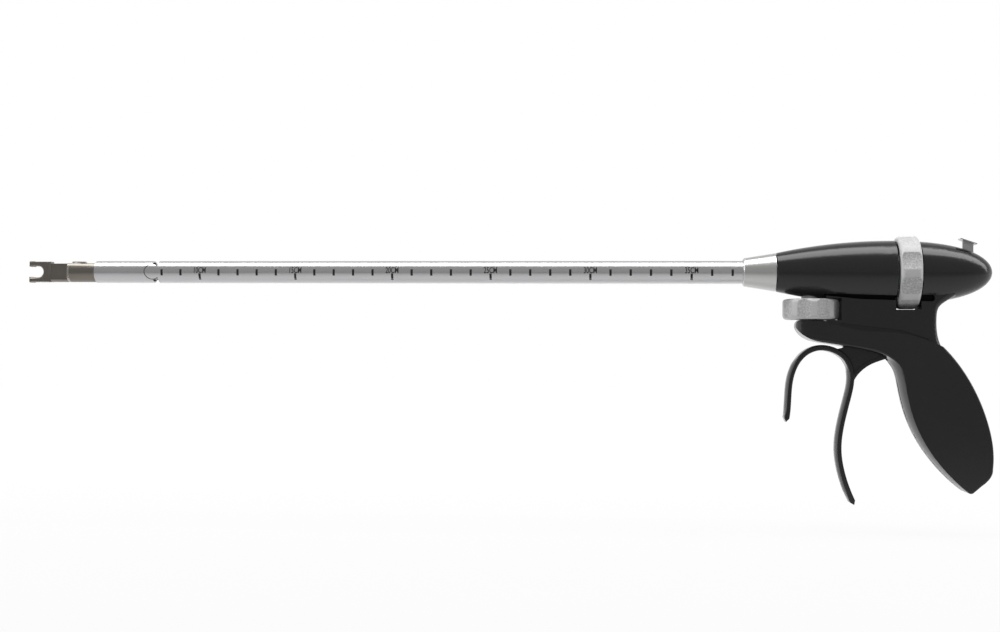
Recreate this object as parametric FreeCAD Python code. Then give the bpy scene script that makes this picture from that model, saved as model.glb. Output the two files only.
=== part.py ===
import FreeCAD, Part
import math
import os

from FreeCAD import Vector

# Endoscopic stapler: a long rotating shaft, an articulating fork head and a pistol handle.
# The shaft axis is the X axis and X = 0 is the front face of the ferrule. The head points
# to -X, the handle lies at +X and the grip hangs down to -Z. All lengths are in mm.

os.makedirs("parts", exist_ok=True)

# Clearances
RUN = 0.05            # running fit, radial
SEAT = 0.02           # glued or pressed seat, radial
GAP = 0.3             # free gap between faces that move past each other
PLAY = 0.12           # play of a roller or crank pin in its slot

# Shaft
shaft_r = 5.7
shaft_wall = 0.7
tube_seat_r = 5.4             # tube turned down inside the ferrule
shaft_length = 297.6          # straight tube from the ferrule to the joint shoulder
spindle_wall = 1.0
spindle_lap = 4.0             # spindle tube inside the front of the ferrule

# Articulation joint
joint_setback = 3.05          # joint axis ahead of the tube shoulder
ear_r = 3.7
ear_line = 0.35               # gap round the ear
ear_neck_half = 2.9
tongue_r = 4.1
tongue_half = 2.5
cheek_thickness = 1.1
clevis_ear_r = 3.5
clevis_length = 7.5
plug_length = 8.4
plug_setback = 4.6
pivot_r = 1.0
link_lever = 3.0              # link pin above the joint axis
link_pin_r = 0.6
head_angle = 30.0

# Head
head_length = 66.65           # joint axis to the tips of the prongs
head_tube_length = 30.75      # joint axis to the front rim of the head tube
cartridge_r = 5.3
cartridge_flat_top = 4.3
cartridge_lap = 10.0          # cartridge inside the head tube
band_length = 1.2
band_half = 4.4
flat_length = 9.5
flat_half = 2.0
flat_bottom = -4.1
fork_half = 2.6
fork_height = 5.3              # half height of the fork
fork_length = 11.4
fork_back_chamfer = 0.72
fork_edge_chamfer = 0.5
fork_gap = 6.0
fork_gap_depth = 7.35
nub_length = 1.7
nub_proud = 0.3
nub_inset = 0.6
leaf_share = 0.55             # length of the leaf as a share of the cartridge neck
leaf_thickness = 0.35
leaf_half = 1.1
leaf_lift = 0.75
leaf_foot = 0.7
leaf_hook = 0.3

# Staple and driver
driver_r = 1.4
driver_plate_half = 0.6
driver_plate_height = 4.8
driver_plate_length = 7.0
driver_recess = 2.4           # driver face behind the bottom of the fork gap at full stroke
staple_wire = 0.5
staple_leg = 4.2

# Ferrule
ferrule_length = 16.05
ferrule_front_r = 6.9
ferrule_rear_r = 9.55
ferrule_chamfer = 0.4

# Barrel
barrel_front_r = 9.65
barrel_r = 15.6
barrel_widest_x = 71.45
barrel_end_x = 119.9
barrel_wall = 2.2
floor_wall = 1.8              # barrel floor above the wheel
tail_fullness = 0.77          # how far the crown runs back before it turns down
tail_bluntness = 0.44
bearing_r = 7.4
bearing_length = 6.5
lip = 0.7

# Rotation ring
ring_x = 79.05
ring_width = 10.3
ring_r = 18.05
ring_rim = 3.0
ring_web = 4.0
ring_hub_r = 8.2
ring_round = 2.2
ring_gap_front = 1.0
ring_gap_rear = 0.6
ring_gap_below = 0.45
pad_count = 9
pad_angle = 28.0
pad_scoop = 0.4               # hollow of a pad below its chord
ring_pad_phase = -5.6         # turn of the pads away from the top

# Articulation wheel
wheel_x = 33.1
wheel_r = 13.85
wheel_top = -13.3
wheel_height = 10.0
wheel_round = 2.0
wheel_gap_rear = 2.4          # round pocket behind the wheel
wheel_angle = 45.0
wheel_pad_phase = -10.6
wheel_hub_r = 4.5
wheel_hub_top = -9.8
axle_r = 1.5
axle_seat = 4.4               # length of the axle held in the nose
crank_r = 0.9

# Neck and grip
neck_half = 8.5
neck_front_x = 39.6
neck_rear_x = 92.4
neck_round = 3.0
groove_depth = 1.6
groove_end_r = 1.6
shoulder_groove = 1.1
grip_half = 10.5
grip_round = 1.0
nose_round = 8.5
nose_x = 25.3
nose_tip = 2.6                # rounding of the upper edge of the nose
grip_wall = 2.4               # side walls
toe_round = 1.9

# Trigger
pivot_x = 57.5
trigger_pin_r = 1.8
pin_cover = 1.6               # neck wall over each end of the trigger pin
trigger_hub_r = 4.2
trigger_hub_half = 4.8
blade_half = 5.0
blade_thickness = 2.7
blade_round = 0.8
web_half = 1.8
rim_half = 2.6
rim_thickness = 1.7
web_reach = 20.0              # slot for the web and its rim, round the pivot
web_slot_x = 47.8
trigger_angle = 25.0

# Drive train
lever_length = 20.5
lever_half = 1.5
lever_width = 4.2
rivet_height = 7.0
rivet_r = 1.0
cheek_r = 2.8
roller_r = 1.5
roller_depth = 8.486          # centre of the round nose below the shaft axis
roller_relief = 0.6           # lever narrower than its round nose
push_rod_r = 1.5
drive_pin_r = 1.0
collar_flange_r = 9.0
collar_groove_r = 6.2
collar_flange = 1.8
spring_wire_r = 0.35
spring_turns = 4.0
clip_width = 0.8
clip_r = 6.6
strip_thickness = 0.4
strip_half = 1.0
strip_reach = 14.0            # flexible strip each side of the joint axis

# Articulation drive
link_half = 0.9
link_height = 1.4
collar_x = 41.0
bend_collar_r = 7.6
bend_groove_r = 6.0
bend_collar_flange = 1.0
yoke_width = 1.6
yoke_r = 8.9
yoke_plate = 1.2
yoke_plate_top = -7.9
yoke_half = 4.2
yoke_edge = 1.2               # plate in front of the crank slot
bend_pin_r = 0.6
lug_half = 1.35

# Release tab
tab_x = 108.5
tab_post_width = 5.1
tab_post_half = 0.75
tab_post_foot = 1.0
tab_foot_z = 5.5
tab_plate_length = 8.2
tab_plate_half = 3.5
tab_thickness = 0.5
tab_top_z = 15.35
tab_slope = 19.0
tab_travel = 2.5
tab_spring_r = 1.1
tab_spring_wire_r = 0.2
tab_spring_length = 7.5

# Screws
screw_r = 1.4
screw_head_r = 2.6
screw_head_height = 1.8
screw_recess = 0.8
screw_reach = 6.5             # thread in the near half, from the seam
boss_r = 3.6

# Worked out from the sizes above
shaft_bore = shaft_r - shaft_wall
spindle_r = shaft_bore - SEAT
spindle_bore = spindle_r - spindle_wall
shoulder_x = -shaft_length
joint_x = shoulder_x - joint_setback
tip_x = joint_x - head_length
head_rim_x = joint_x - head_tube_length
neck_length = head_length - head_tube_length - band_length - flat_length - fork_length
leaf_length = leaf_share * neck_length
band_x = head_rim_x - neck_length
flat_x = band_x - band_length
fork_x = flat_x - flat_length
gap_floor_x = tip_x + fork_gap_depth
barrel_x = ferrule_length + GAP
bearing_x = barrel_x + lip
cavity_x = bearing_x + bearing_length
slot_front_x = ring_x - ring_width / 2 - ring_gap_front
slot_rear_x = ring_x + ring_width / 2 + ring_gap_rear
slot_floor_z = -(ring_r + ring_gap_below)
rear_bearing_x = slot_rear_x + 2.0
spindle_end_x = rear_bearing_x + bearing_length + 1.6
wheel_bottom = wheel_top - wheel_height
wheel_slot_x = wheel_x + wheel_r + wheel_gap_rear
wheel_slot_top = wheel_top + GAP
wheel_slot_bottom = wheel_bottom - GAP
lever_tilt = trigger_angle / 2
lever_swing = lever_length * math.sin(math.radians(lever_tilt))
pivot_z = -roller_depth - lever_length * math.cos(math.radians(lever_tilt))
stroke = 2 * lever_swing
drive_x = pivot_x + lever_swing
groove_width = 2 * (roller_r + PLAY)
collar_half = groove_width / 2 + collar_flange
bend_travel = link_lever * math.sin(math.radians(head_angle))
crank_throw = bend_travel / math.sin(math.radians(wheel_angle))
yoke_front_x = wheel_x - crank_r - PLAY - yoke_edge
clevis_x = joint_x + tongue_r + 0.4
strip_front_x = joint_x - strip_reach
strip_rear_x = joint_x + strip_reach
driver_face_x = gap_floor_x + driver_recess + stroke


# Basic shapes
def rod_x(r, x0, x1, y=0.0, z=0.0):
    return Part.makeCylinder(r, x1 - x0, Vector(x0, y, z), Vector(1, 0, 0))


def rod_y(r, y0, y1, x, z):
    return Part.makeCylinder(r, y1 - y0, Vector(x, y0, z), Vector(0, 1, 0))


def rod_z(r, z0, z1, x, y=0.0):
    return Part.makeCylinder(r, z1 - z0, Vector(x, y, z0), Vector(0, 0, 1))


def tube_x(r_out, r_in, x0, x1):
    return rod_x(r_out, x0, x1).cut(rod_x(r_in, x0 - 1, x1 + 1))


def block(x0, x1, y_half, z0, z1):
    return Part.makeBox(x1 - x0, 2 * y_half, z1 - z0, Vector(x0, -y_half, z0))


def point(x, z):
    return Vector(x, 0, z)


def line(a, b):
    return Part.makeLine(point(*a), point(*b))


def curve(points):
    spline = Part.BSplineCurve()
    spline.interpolate([point(x, z) for x, z in points])
    return spline.toShape()


def arc(a, b, c):
    return Part.Arc(point(*a), point(*b), point(*c)).toShape()


def polygon(points):
    corners = [point(x, z) for x, z in points]
    return [Part.makePolygon(corners + corners[:1])]


def plate(edges, half):
    """Flat outline in the XZ plane, thickened to both sides of the seam plane."""
    face = Part.Face(Part.Wire(edges))
    solid = face.extrude(Vector(0, 2 * half, 0))
    solid.translate(Vector(0, -half, 0))
    return solid


def revolve(edges):
    """Closed outline in the XZ plane turned about the shaft axis."""
    return Part.Face(Part.Wire(edges)).revolve(Vector(0, 0, 0), Vector(1, 0, 0), 360)


def rounded_sides(solid, half, radius):
    """Round the outline edges on both flat faces of a plate."""
    edges = [e for e in solid.Edges if abs(abs(e.Vertexes[0].Y) - half) < 1e-6 and e.BoundBox.YLength < 1e-6]
    return solid.makeFillet(radius, edges)


def coil(x, radius, wire_r, length, turns):
    """Open coil spring along X that starts at x."""
    helix = Part.makeHelix((length - 2 * wire_r) / turns, length - 2 * wire_r, radius)
    section = Part.Wire(Part.makeCircle(wire_r, Vector(radius, 0, 0), Vector(0, 1, 0)))
    spring = Part.Wire(helix).makePipeShell([section], True, True)
    spring.rotate(Vector(0, 0, 0), Vector(0, 1, 0), 90)
    spring.translate(Vector(x + wire_r, 0, 0))
    return spring


def ribbon(points, thickness, point_length):
    """Band of even thickness along a curve, each end cut to a point."""
    spine = Part.BSplineCurve()
    spine.interpolate([point(x, z) for x, z in points])
    stations = [spine.parameter(point(x, z)) for x, z in points]
    sides = {-1: [], 1: []}
    for u in stations:
        tangent = spine.tangent(u)[0]
        normal = Vector(-tangent.z, 0, tangent.x)
        for side in sides:
            sides[side].append(spine.value(u) + normal * (side * thickness / 2))
    edges = []
    for side in sides:
        outline = Part.BSplineCurve()
        outline.interpolate(sides[side])
        edges.append(outline.toShape())
    for index, sign in ((0, -1), (-1, 1)):
        tangent = spine.tangent(stations[index])[0]
        tip = spine.value(stations[index]) + tangent * (sign * point_length)
        edges.append(Part.makeLine(sides[-1][index], tip))
        edges.append(Part.makeLine(tip, sides[1][index]))
    return Part.__sortEdges__(edges)


# Barrel and handle outlines
def barrel(inset=0.0):
    """Barrel of revolution with its skin moved inwards by the inset."""
    rise = barrel_r - barrel_front_r
    run = barrel_widest_x - barrel_x
    crown = (run * run + rise * rise) / (2 * rise)

    def skin(x):
        drop = math.sqrt((crown - inset) ** 2 - (barrel_widest_x - x) ** 2)
        return barrel_r - crown + drop

    middle = (barrel_x + barrel_widest_x) / 2
    top = (barrel_widest_x, skin(barrel_widest_x))
    end = barrel_end_x - inset
    front = arc((barrel_x, skin(barrel_x)), (middle, skin(middle)), top)
    tail = Part.BezierCurve()
    shoulder = barrel_widest_x + tail_fullness * (end - barrel_widest_x)
    tail.setPoles([point(*top), point(shoulder, top[1]), point(end, tail_bluntness * top[1]), point(end, 0)])
    base = line((end, 0), (barrel_x, 0))
    face = line((barrel_x, 0), (barrel_x, skin(barrel_x)))
    return revolve([front, tail.toShape(), base, face])


shoulder_line = [(neck_front_x, -25.0), (46.0, -26.6), (55.5, -28.6), (76.0, -30.2), (88.0, -33.6)]
back_line = [(95.0, -36.5), (102.9, -46.0), (110.7, -59.7), (115.8, -73.8), (118.0, -86.0), (117.8, -95.0)]
toe_line = [(117.0, -98.4), (115.6, -100.4), (112.8, -102.9)]
front_line = [(107.6, -107.4), (99.8, -100.8), (88.1, -87.0), (79.9, -70.7), (76.2, -55.3), (74.0, -47.0),
              (67.8, -40.8)]
underside_line = [(58.6, -37.9), (48.4, -36.2), (40.2, -34.9), (33.8, -33.7), (29.6, -31.8), (26.3, -28.7),
                  (25.3, -26.3), (26.0, -24.6)]
neck_line = [(101.6, -11.2), (97.2, -14.1), (neck_rear_x + 0.9, -17.7), (neck_rear_x + 0.1, -21.4),
             (neck_rear_x, -26.0), (neck_rear_x + 0.5, -31.0), (neck_rear_x + 2.0, -35.8)]


cavity_back_line = [(98.6, -52.0), (108.4, -66.8), (113.2, -84.0), (112.8, -95.0), (107.8, -101.0)]
cavity_front_line = [(106.8, -101.0), (98.6, -93.2), (87.6, -77.2), (81.6, -61.0), (81.0, -52.0)]
neck_inside = [(84.0, -38.0), (60.0, -31.5), (neck_front_x, -26.0), (neck_front_x, -4.0), (80.0, -4.0)]
groove_line = [(neck_front_x - 1.0, -11.7), (56.0, -13.4), (89.6, -14.5), (89.6, -11.3), (74.0, -11.7),
               (56.0, -11.3), (neck_front_x - 1.0, -10.9)]
shoulder_groove_line = [(46.0, -25.2), (55.5, -26.2), (74.6, -28.3), (88.0, -32.6), (88.0, -34.2),
                        (76.0, -31.0), (55.5, -29.4), (46.0, -27.4)]


def grip_outline():
    """Nose, root and grip in side view, clockwise from the top of the nose."""
    nose_top = (nose_x + nose_tip, wheel_slot_bottom)
    nose_shelf = (neck_front_x - 1.6, wheel_slot_bottom)
    return [
        line(nose_top, nose_shelf),
        line(nose_shelf, shoulder_line[0]),
        curve(shoulder_line + [back_line[0]]),
        curve(back_line),
        curve([back_line[-1]] + toe_line),
        line(toe_line[-1], front_line[0]),
        curve(front_line + underside_line + [nose_top]),
    ]


def across(body, spot):
    """Edges along Y that pass through a spot in the side view."""
    return [e for e in body.Edges if e.BoundBox.XLength < 1e-6 and e.BoundBox.ZLength < 1e-6
            and abs(e.BoundBox.XMin - spot[0]) < 1e-6 and abs(e.BoundBox.ZMin - spot[1]) < 1e-6]


def nose_plan():
    """Plan view of the grip body: a rounded nose and straight sides."""
    r = nose_round
    plan = block(nose_x, barrel_end_x, grip_half, front_line[0][1] - 5, 0)
    front = [e for e in plan.Edges if e.BoundBox.XMax < nose_x + 1e-6]
    upright = [e for e in front if e.BoundBox.ZLength > 1]
    return plan.makeFillet(r, upright)


def grip_body():
    body = plate(grip_outline(), grip_half)
    body = body.makeFillet(toe_round, across(body, front_line[0]))
    lower = [e for e in body.Edges if e.BoundBox.YLength < 1e-6 and e.BoundBox.ZMin < back_line[0][1] - 1]
    return body.makeFillet(grip_round, lower).common(nose_plan())


def neck_body():
    """Narrow neck between the barrel and the grip, with a fine groove over the shoulder."""
    edges = [curve(neck_line)]
    path = neck_line[-1:] + neck_inside + neck_line[:1]
    edges += [line(a, b) for a, b in zip(path, path[1:])]
    body = plate(edges, neck_half)
    seams = [e for e in body.Edges if e.BoundBox.ZLength > 20 and e.BoundBox.XMin > neck_rear_x - 1]
    body = body.makeFillet(neck_round, [e for e in seams if abs(abs(e.Vertexes[0].Y) - neck_half) < 1e-6])
    shoulder = plate(polygon(shoulder_groove_line), neck_half + 1)
    keep = block(neck_front_x - 2, barrel_end_x, neck_half - shoulder_groove, back_line[0][1], 0)
    return body.cut(shoulder.cut(keep))


def barrel_grooves():
    """Long groove along the foot of the barrel, on both sides."""
    groove_x, groove_z = groove_line[2]
    floor = plate(polygon(groove_line), neck_half + 4)
    floor = floor.fuse(rod_y(groove_end_r, -neck_half - 4, neck_half + 4, groove_x, groove_z + groove_end_r))
    return floor.cut(block(neck_front_x - 2, barrel_end_x, neck_half - groove_depth, -barrel_r - 1, 0))


def handle_openings():
    """Slots through both halves for the ring and for the wheel."""
    ring_slot = block(slot_front_x, slot_rear_x, 30, slot_floor_z, 30)
    wheel_slot = block(0, wheel_x, 30, wheel_slot_bottom, wheel_slot_top)
    pocket_r = wheel_r + wheel_gap_rear
    wheel_slot = wheel_slot.fuse(rod_z(pocket_r, wheel_slot_bottom, wheel_slot_top, wheel_x))
    return [ring_slot, wheel_slot]


def barrel_cavity():
    """Room inside the barrel for the spindle and its two collars."""
    front = barrel(barrel_wall).common(block(cavity_x, slot_front_x - 2.0, 30, -30, 30))
    shelf = block(0, wheel_slot_x + barrel_wall, 30, -30, wheel_slot_top + floor_wall)
    yoke_room = block(yoke_front_x - bend_travel - GAP, collar_x, yoke_half + GAP,
                      yoke_plate_top - yoke_plate - GAP, yoke_plate_top + GAP)
    return front.cut(shelf).fuse(yoke_room)


def lever_cavity():
    """Well in the neck for the trigger hub, its cheeks and the drive lever."""
    swing = math.sin(math.radians(lever_tilt))
    cheek_reach = rivet_height * swing + cheek_r + 2 * GAP
    cheeks = block(pivot_x - cheek_reach, pivot_x + cheek_reach, trigger_hub_half + GAP,
                   pivot_z, pivot_z + rivet_height + cheek_r + 2 * GAP)
    hub_room = rod_y(trigger_hub_r + GAP, -trigger_hub_half - GAP, trigger_hub_half + GAP, pivot_x, pivot_z)
    reach = lever_swing + roller_r + 2 * GAP
    lever = block(pivot_x - reach, pivot_x + reach, lever_half + 2 * GAP, pivot_z, -barrel_r / 2)
    web = rod_y(web_reach, -rim_half - 2 * GAP, rim_half + 2 * GAP, pivot_x, pivot_z)
    web = web.common(block(web_slot_x, pivot_x + web_reach, rim_half + 2 * GAP,
                           pivot_z - web_reach, pivot_z + rivet_r))
    return [cheeks, hub_room, lever, web]


def shaft_seats():
    """Bearing seats and the bores that the spindle runs through."""
    clear = spindle_r + 1.0
    tail_clear = clip_r + GAP
    return [
        rod_x(bearing_r + SEAT, bearing_x, cavity_x),
        rod_x(clear, barrel_x - 1, bearing_x),
        rod_x(clear, slot_front_x - 3, slot_front_x + 1),
        rod_x(clear, slot_rear_x - 1, rear_bearing_x),
        rod_x(bearing_r + SEAT, rear_bearing_x, rear_bearing_x + bearing_length),
        rod_x(tail_clear, rear_bearing_x + bearing_length, spindle_end_x + 1.0),
    ]


def wheel_seats():
    """Blind seat of the wheel axle in the nose and the hub hole in the barrel floor."""
    return [
        rod_z(axle_r + SEAT, wheel_slot_bottom - axle_seat, wheel_slot_bottom + 1, wheel_x),
        rod_z(wheel_hub_r + GAP, wheel_slot_top - 1, wheel_slot_top + 4, wheel_x),
    ]


def tab_seat():
    """Slot for the post of the release tab, with a wider pocket for its foot and spring."""
    foot_half = tab_post_width / 2 + tab_post_foot
    floor_z = tab_foot_z - tab_spring_length
    half = tab_post_width / 2 + GAP
    post = block(tab_x - half, tab_x + half, tab_post_half + GAP, 0, barrel_r + 1)
    foot = block(tab_x - foot_half - GAP, tab_x + foot_half + GAP, tab_post_half + 2 * GAP,
                 tab_foot_z - tab_travel - GAP, tab_foot_z + 1.0)
    spring = rod_z(tab_spring_r + tab_spring_wire_r + GAP, floor_z, tab_foot_z, tab_x)
    return [post, foot, spring]


screw_spots = [
    (37.5, -28.6, grip_half),
    (83.0, -24.0, neck_half),
    (99.0, -58.0, grip_half),
    (107.0, -92.0, grip_half),
]


def grip_cavity():
    """Hollow of the grip below the trigger slot, with a boss round each screw."""
    depth = grip_half - grip_wall
    hollow = plate([curve(cavity_back_line), line(cavity_back_line[-1], cavity_front_line[0]),
                    curve(cavity_front_line), line(cavity_front_line[-1], cavity_back_line[0])], depth)
    for x, z, face_y in screw_spots:
        hollow = hollow.cut(rod_y(boss_r, -depth - 1, depth + 1, x, z))
    return hollow


def screw_holes():
    holes = []
    for x, z, face_y in screw_spots:
        head_y = face_y - screw_recess - screw_head_height
        holes.append(rod_y(screw_r + GAP, 0, face_y + 1, x, z))
        holes.append(rod_y(screw_head_r + GAP, head_y, face_y + 1, x, z))
        holes.append(rod_y(screw_r + SEAT, -screw_reach - 0.5, 0, x, z))
    return holes


def trigger_pin_seat():
    half = neck_half - pin_cover + SEAT
    return rod_y(trigger_pin_r + SEAT, -half, half, pivot_x, pivot_z)


def handle():
    """Whole housing before it is split along the seam plane."""
    neck = neck_body().cut(barrel())
    body = barrel().fuse([neck, grip_body()])
    cuts = handle_openings() + [barrel_grooves(), barrel_cavity(), grip_cavity(), trigger_pin_seat()]
    cuts += lever_cavity() + shaft_seats() + wheel_seats() + tab_seat() + screw_holes()
    return body.cut(cuts)


# Pieces held by the housing
def trigger_pin():
    half = neck_half - pin_cover
    return rod_y(trigger_pin_r, -half, half, pivot_x, pivot_z)


def wheel_axle():
    low = wheel_slot_bottom - axle_seat
    pin = rod_z(axle_r, low, wheel_hub_top - 1.2, wheel_x)
    return pin.makeChamfer(0.3, [e for e in pin.Edges if abs(e.BoundBox.ZMax - wheel_hub_top + 1.2) < 1e-6
                                 and e.BoundBox.ZLength < 1e-6])


def bearing(x0):
    """Flanged bush that the spindle tube turns in."""
    bush = tube_x(bearing_r, spindle_r + RUN, x0, x0 + bearing_length)
    groove = tube_x(bearing_r + 1, bearing_r - 0.6, x0 + 2.2, x0 + bearing_length - 2.2)
    return bush.cut(groove)


def screws():
    """Pan-head screws, driven from the far side."""
    solids = []
    for x, z, face_y in screw_spots:
        top = face_y - screw_recess
        head = rod_y(screw_head_r, top - screw_head_height, top, x, z)
        rim = [e for e in head.Edges if e.BoundBox.YLength < 1e-6 and e.BoundBox.YMax > top - 0.1]
        head = head.makeFillet(0.8, rim)
        shank = rod_y(screw_r, -screw_reach, top - screw_head_height + 0.1, x, z)
        slot = Part.makeBox(4.4, 0.9, 0.8, Vector(x - 2.2, top - 0.8, z - 0.4))
        cross = Part.makeBox(0.8, 0.9, 4.4, Vector(x - 0.4, top - 0.8, z - 2.2))
        solids.append(head.fuse(shank).cut([slot, cross]))
    return Part.makeCompound(solids)


# Pieces that turn with the shaft
def ferrule():
    outline = [(0, 0), (0, ferrule_front_r), (ferrule_length, ferrule_rear_r), (ferrule_length, 0)]
    body = revolve(polygon(outline))
    front = [e for e in body.Edges if e.BoundBox.XLength < 1e-6 and e.BoundBox.XMax < 1e-6]
    body = body.makeChamfer(ferrule_chamfer, front)
    lap = ferrule_length - spindle_lap
    rear_bore = rod_x(spindle_r + SEAT, lap - 1, ferrule_length + 1)
    return body.cut([rod_x(tube_seat_r + SEAT, -1, lap), rear_bore])


def outer_tube():
    """Long tube with a round ear on each side of the joint and a turned seat for the ferrule."""
    tube = tube_x(shaft_r, shaft_bore, shoulder_x, 0)
    tube = tube.fuse(tube_x(tube_seat_r, shaft_bore, 0, ferrule_length - spindle_lap))
    ears = tube_x(shaft_r, shaft_bore, joint_x - ear_r - 1, shoulder_x + 1)
    shape = rod_y(ear_r, -shaft_r - 1, shaft_r + 1, joint_x, 0)
    shape = shape.fuse(block(joint_x, shoulder_x + 1, shaft_r + 1, -ear_neck_half, ear_neck_half))
    return tube.fuse(ears.common(shape)).removeSplitter()


def spindle_tube():
    """Inner tube in the handle, slotted for the drive pin and the articulation pin."""
    tube = tube_x(spindle_r, spindle_bore, ferrule_length - 2 * spindle_lap, spindle_end_x)
    side_slot = block(drive_x - stroke, drive_x, spindle_r + 1, -drive_pin_r - GAP, drive_pin_r + GAP)
    for x in (drive_x - stroke, drive_x):
        side_slot = side_slot.fuse(rod_y(drive_pin_r + GAP, -spindle_r - 1, spindle_r + 1, x, 0))
    top_slot = block(collar_x - bend_travel, collar_x + bend_travel, bend_pin_r + GAP, 0, spindle_r + 1)
    for x in (collar_x - bend_travel, collar_x + bend_travel):
        top_slot = top_slot.fuse(rod_z(bend_pin_r + GAP, 0, spindle_r + 1, x))
    return tube.cut([side_slot, top_slot])


def grip_pads(radius, width, middle, phase):
    """Scoops round a wheel that turns about X, right across its rim."""
    chord = radius * math.cos(math.radians(pad_angle / 2))
    half = radius * math.sin(math.radians(pad_angle / 2))
    scoop_r = (half * half + pad_scoop * pad_scoop) / (2 * pad_scoop)
    scoop = rod_x(scoop_r, middle - width, middle + width, 0, chord - pad_scoop + scoop_r)
    scoops = []
    for index in range(pad_count):
        turned = scoop.copy()
        turned.rotate(Vector(0, 0, 0), Vector(1, 0, 0), phase + index * 360 / pad_count)
        scoops.append(turned)
    return scoops


def knurled_rim(radius, width, edge_round, middle, phase):
    """Disc about X with rounded rims and shallow grip pads."""
    disc = rod_x(radius, middle - width / 2, middle + width / 2)
    rims = [e for e in disc.Edges if e.BoundBox.XLength < 1e-6]
    return disc.makeFillet(edge_round, rims).cut(grip_pads(radius, width, middle, phase))


def rotation_ring():
    """Ring on the barrel with its web and the hub that grips the spindle tube."""
    ring = knurled_rim(ring_r, ring_width, ring_round, ring_x, ring_pad_phase)
    for side in (-1, 1):
        inner = ring_x + side * ring_web / 2
        outer = ring_x + side * (ring_width / 2 + 1)
        ring = ring.cut(tube_x(ring_r - ring_rim, ring_hub_r, min(inner, outer), max(inner, outer)))
    return ring.cut(rod_x(spindle_r + SEAT, slot_front_x, slot_rear_x))


def joint_clevis():
    """Plug in the end of the outer tube with the two inner ears of the joint."""
    body_r = shaft_bore - SEAT - 0.03
    plug = rod_x(body_r, clevis_x, clevis_x + clevis_length)
    ears = rod_y(clevis_ear_r, -body_r, body_r, joint_x, 0)
    ears = ears.fuse(block(joint_x, clevis_x + 1, body_r, -ear_neck_half, ear_neck_half))
    ears = ears.common(rod_x(body_r, joint_x - tongue_r, clevis_x + 1))
    ears = ears.cut(block(joint_x - tongue_r, clevis_x, tongue_half + 0.1, -body_r, body_r))
    body = plug.fuse(ears)
    rod_slot = block(clevis_x - 1, clevis_x + clevis_length + 1, link_half + 0.2,
                     link_lever - link_height / 2 - 0.2, link_lever + link_height / 2 + 0.2)
    pins = rod_y(pivot_r + SEAT, -body_r, body_r, joint_x, 0)
    return body.cut([rod_slot, rod_x(push_rod_r + GAP, clevis_x - 1, clevis_x + clevis_length + 1), pins])


def pivot_pins():
    """Two stub pins, one in each ear, that leave the middle of the joint open."""
    inner = tongue_half - cheek_thickness
    outer = shaft_bore - 0.2
    near = rod_y(pivot_r, -outer, -inner, joint_x, 0)
    far = rod_y(pivot_r, inner, outer, joint_x, 0)
    return Part.makeCompound([far, near])


def clip(x):
    """Retaining clip on the spindle tube."""
    ring = tube_x(clip_r, spindle_r + SEAT, x, x + clip_width)
    return ring.cut(block(x - 1, x + clip_width + 1, 1.4, -clip_r - 1, 0))


def spring_stop():
    return clip(drive_x - collar_half - stroke - 4 * GAP - spring_turns * 2 * spring_wire_r - clip_width)


def tail_clip():
    return clip(rear_bearing_x + bearing_length + GAP)


# Trigger
blade_line = [(21.1, -71.8), (22.0, -62.0), (22.9, -53.0), (25.4, -45.6), (29.8, -40.1), (36.6, -37.2),
              (43.5, -38.2), (49.7, -42.6), (52.2, -50.0), (50.5, -62.0), (47.1, -76.5), (46.1, -86.3),
              (47.7, -98.0), (51.4, -109.0), (52.7, -111.9)]
web_corner = (48.6, -37.0)
rim_line = [(51.6, -57.0), (53.1, -52.4), (56.2, -48.2), (61.0, -44.6), (66.6, -42.3), (71.4, -40.6)]


def rivet_spot():
    tilt = math.radians(lever_tilt)
    return pivot_x + rivet_height * math.sin(tilt), pivot_z + rivet_height * math.cos(tilt)


def trigger_web():
    """Thin web from the finger loop up to the hub."""
    hub_rear = (pivot_x + trigger_hub_r, pivot_z)
    hub_front = (pivot_x - trigger_hub_r + RUN, pivot_z)
    corners = [rim_line[-1], hub_rear, hub_front, web_corner] + blade_line[6:9] + [rim_line[0]]
    edges = [curve(rim_line)]
    edges += [line(a, b) for a, b in zip(corners, corners[1:])]
    return plate(edges, web_half)


def trigger():
    """Moulded trigger: finger loop, long blade, web with a rim, hub and two cheeks."""
    tip = blade_thickness * 0.7
    blade = plate(ribbon(blade_line, blade_thickness, tip), blade_half)
    blade = rounded_sides(blade, blade_half, blade_round)
    rim = plate(ribbon(rim_line, rim_thickness, 0.6), rim_half)
    hub = rod_y(trigger_hub_r, -trigger_hub_half, trigger_hub_half, pivot_x, pivot_z)
    x, z = rivet_spot()
    cheeks = rod_y(cheek_r, -trigger_hub_half, trigger_hub_half, x, z)
    tilt = math.radians(lever_tilt)
    side = Vector(math.cos(tilt), 0, -math.sin(tilt)) * cheek_r
    corners = [Vector(pivot_x, 0, pivot_z) + side, Vector(x, 0, z) + side, Vector(x, 0, z) - side,
               Vector(pivot_x, 0, pivot_z) - side]
    arm = plate(polygon([(c.x, c.z) for c in corners]), trigger_hub_half)
    body = hub.fuse([cheeks, arm, trigger_web(), rim, blade])
    lever_room = rod_y(trigger_hub_r + GAP, -lever_half - RUN, lever_half + RUN, pivot_x, pivot_z)
    top_room = block(pivot_x - lever_length / 2, pivot_x + lever_length / 2, lever_half + RUN,
                     pivot_z, pivot_z + 2 * rivet_height)
    bore = rod_y(trigger_pin_r + RUN, -trigger_hub_half - 1, trigger_hub_half + 1, pivot_x, pivot_z)
    rivet = rod_y(rivet_r + SEAT, -trigger_hub_half - 1, trigger_hub_half + 1, x, z)
    return body.cut([lever_room, top_room, bore, rivet])


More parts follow.
